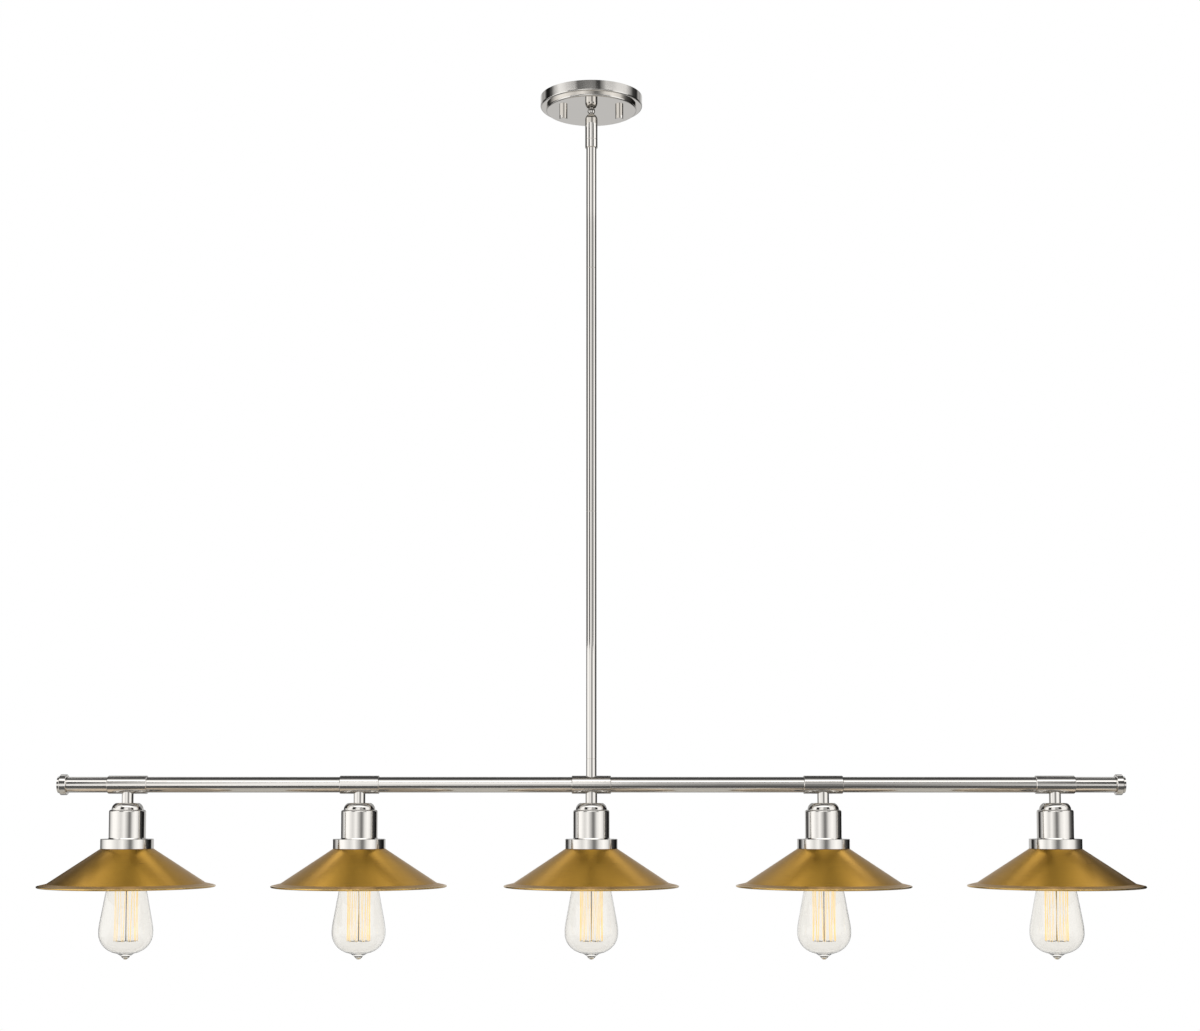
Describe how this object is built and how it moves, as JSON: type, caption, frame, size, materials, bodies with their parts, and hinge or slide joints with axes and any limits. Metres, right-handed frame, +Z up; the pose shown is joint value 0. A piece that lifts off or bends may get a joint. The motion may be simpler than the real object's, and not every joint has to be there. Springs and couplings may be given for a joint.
{
  "type": "linear island pendant light",
  "caption": "Straight tubular ceiling pendant on a screwed rod stem and ball swivel, with two-step lampholder cups, wide cone shades and long clear filament bulbs.",
  "frame": {"origin": "centre of the canopy's ceiling face", "axes": "+Z up into the ceiling, +X along the bar to the right as seen from the front, +Y to the back; everything hangs below z = 0"},
  "size_m": [1.348, 0.214, 1.0705],
  "materials": {
    "brushed_nickel": "brushed, satin",
    "antique_brass": "spun, antiqued and lacquered",
    "zinc_steel": "zinc plated",
    "ground_green": "green painted",
    "lead_insulation": "smooth",
    "wire_nut_plastic": "moulded",
    "tinned_crimp": "tinned",
    "nylon": "moulded",
    "phenolic": "moulded",
    "contact_brass": "bright",
    "solder": "soldered",
    "bulb_shell": "rolled, bright",
    "clear_glass": "clear",
    "filament_glow": "carbon strands on a glass stem"
  },
  "bodies": {
    "canopy": {"canopy": "brushed_nickel", "mounting_bracket": "zinc_steel", "mounting_studs": "zinc_steel", "bracket_nuts": "zinc_steel", "canopy_knobs": "brushed_nickel", "ground_screw": "ground_green", "ball_stud_nut": "zinc_steel", "canopy_leads": "lead_insulation", "wire_nuts": "wire_nut_plastic"},
    "swivel_ball": {"ball_stud": "brushed_nickel"},
    "swivel_seat": {"swivel_seat": "nylon"},
    "stem": {"swivel_cup": "brushed_nickel", "swivel_collar": "brushed_nickel", "rod_upper": "brushed_nickel", "rod_middle": "brushed_nickel", "rod_lower": "brushed_nickel", "rod_nipples": "zinc_steel", "stem_foot": "brushed_nickel", "stem_leads": "lead_insulation", "centre_sleeve": "brushed_nickel", "lamp_sleeves": "brushed_nickel", "bar_tubes": "brushed_nickel", "end_tubes": "brushed_nickel", "end_caps": "brushed_nickel", "bar_leads": "lead_insulation", "lamp_necks": "brushed_nickel", "lamp_nipples": "zinc_steel", "lamp_leads": "lead_insulation", "lead_splices": "tinned_crimp", "lamp_cups": "brushed_nickel", "shade_collars": "brushed_nickel", "shade_1": "antique_brass", "shade_2": "antique_brass", "shade_3": "antique_brass", "shade_4": "antique_brass", "shade_5": "antique_brass", "socket_bodies": "phenolic", "socket_shells": "contact_brass", "socket_contacts": "contact_brass", "shade_rings": "zinc_steel"},
    "bulb_1_tip": {"bulb_tip_1": "solder"},
    "bulb_1": {"bulb_base_1": "bulb_shell", "bulb_glass_1": "clear_glass", "bulb_filament_1": "filament_glow"},
    "bulb_2_tip": {"bulb_tip_2": "solder"},
    "bulb_2": {"bulb_base_2": "bulb_shell", "bulb_glass_2": "clear_glass", "bulb_filament_2": "filament_glow"},
    "bulb_3_tip": {"bulb_tip_3": "solder"},
    "bulb_3": {"bulb_base_3": "bulb_shell", "bulb_glass_3": "clear_glass", "bulb_filament_3": "filament_glow"},
    "bulb_4_tip": {"bulb_tip_4": "solder"},
    "bulb_4": {"bulb_base_4": "bulb_shell", "bulb_glass_4": "clear_glass", "bulb_filament_4": "filament_glow"},
    "bulb_5_tip": {"bulb_tip_5": "solder"},
    "bulb_5": {"bulb_base_5": "bulb_shell", "bulb_glass_5": "clear_glass", "bulb_filament_5": "filament_glow"}
  },
  "joints": [
    {"name": "stem_turn", "type": "hinge", "parent": "canopy", "child": "swivel_ball", "pos_m": [0, 0, -0.028], "axis": [0, 0, 1], "range_deg": [-180, 180]},
    {"name": "swing_across", "type": "hinge", "parent": "swivel_ball", "child": "swivel_seat", "pos_m": [0, 0, -0.028], "axis": [1, 0, 0], "range_deg": [-15, 15]},
    {"name": "swing_along", "type": "hinge", "parent": "swivel_seat", "child": "stem", "pos_m": [0, 0, -0.028], "axis": [0, 1, 0], "range_deg": [-15, 15]},
    {"name": "bulb_1_travel", "type": "slide", "parent": "stem", "child": "bulb_1_tip", "axis": [0, 0, -1], "range_m": [0, 0.0182]},
    {"name": "bulb_1_turn", "type": "hinge", "parent": "bulb_1_tip", "child": "bulb_1", "pos_m": [-0.567, 0, -0.93], "axis": [0, 0, -1], "range_deg": [0, 1800]},
    {"name": "bulb_2_travel", "type": "slide", "parent": "stem", "child": "bulb_2_tip", "axis": [0, 0, -1], "range_m": [0, 0.0182]},
    {"name": "bulb_2_turn", "type": "hinge", "parent": "bulb_2_tip", "child": "bulb_2", "pos_m": [-0.2835, 0, -0.93], "axis": [0, 0, -1], "range_deg": [0, 1800]},
    {"name": "bulb_3_travel", "type": "slide", "parent": "stem", "child": "bulb_3_tip", "axis": [0, 0, -1], "range_m": [0, 0.0182]},
    {"name": "bulb_3_turn", "type": "hinge", "parent": "bulb_3_tip", "child": "bulb_3", "pos_m": [0, 0, -0.93], "axis": [0, 0, -1], "range_deg": [0, 1800]},
    {"name": "bulb_4_travel", "type": "slide", "parent": "stem", "child": "bulb_4_tip", "axis": [0, 0, -1], "range_m": [0, 0.0182]},
    {"name": "bulb_4_turn", "type": "hinge", "parent": "bulb_4_tip", "child": "bulb_4", "pos_m": [0.2835, 0, -0.93], "axis": [0, 0, -1], "range_deg": [0, 1800]},
    {"name": "bulb_5_travel", "type": "slide", "parent": "stem", "child": "bulb_5_tip", "axis": [0, 0, -1], "range_m": [0, 0.0182]},
    {"name": "bulb_5_turn", "type": "hinge", "parent": "bulb_5_tip", "child": "bulb_5", "pos_m": [0.567, 0, -0.93], "axis": [0, 0, -1], "range_deg": [0, 1800]}
  ],
  "couplings": [
    {"joint": "bulb_1_travel", "follows": "bulb_1_turn", "m_per_rad": 0.00057757},
    {"joint": "bulb_2_travel", "follows": "bulb_2_turn", "m_per_rad": 0.00057757},
    {"joint": "bulb_3_travel", "follows": "bulb_3_turn", "m_per_rad": 0.00057757},
    {"joint": "bulb_4_travel", "follows": "bulb_4_turn", "m_per_rad": 0.00057757},
    {"joint": "bulb_5_travel", "follows": "bulb_5_turn", "m_per_rad": 0.00057757}
  ]
}
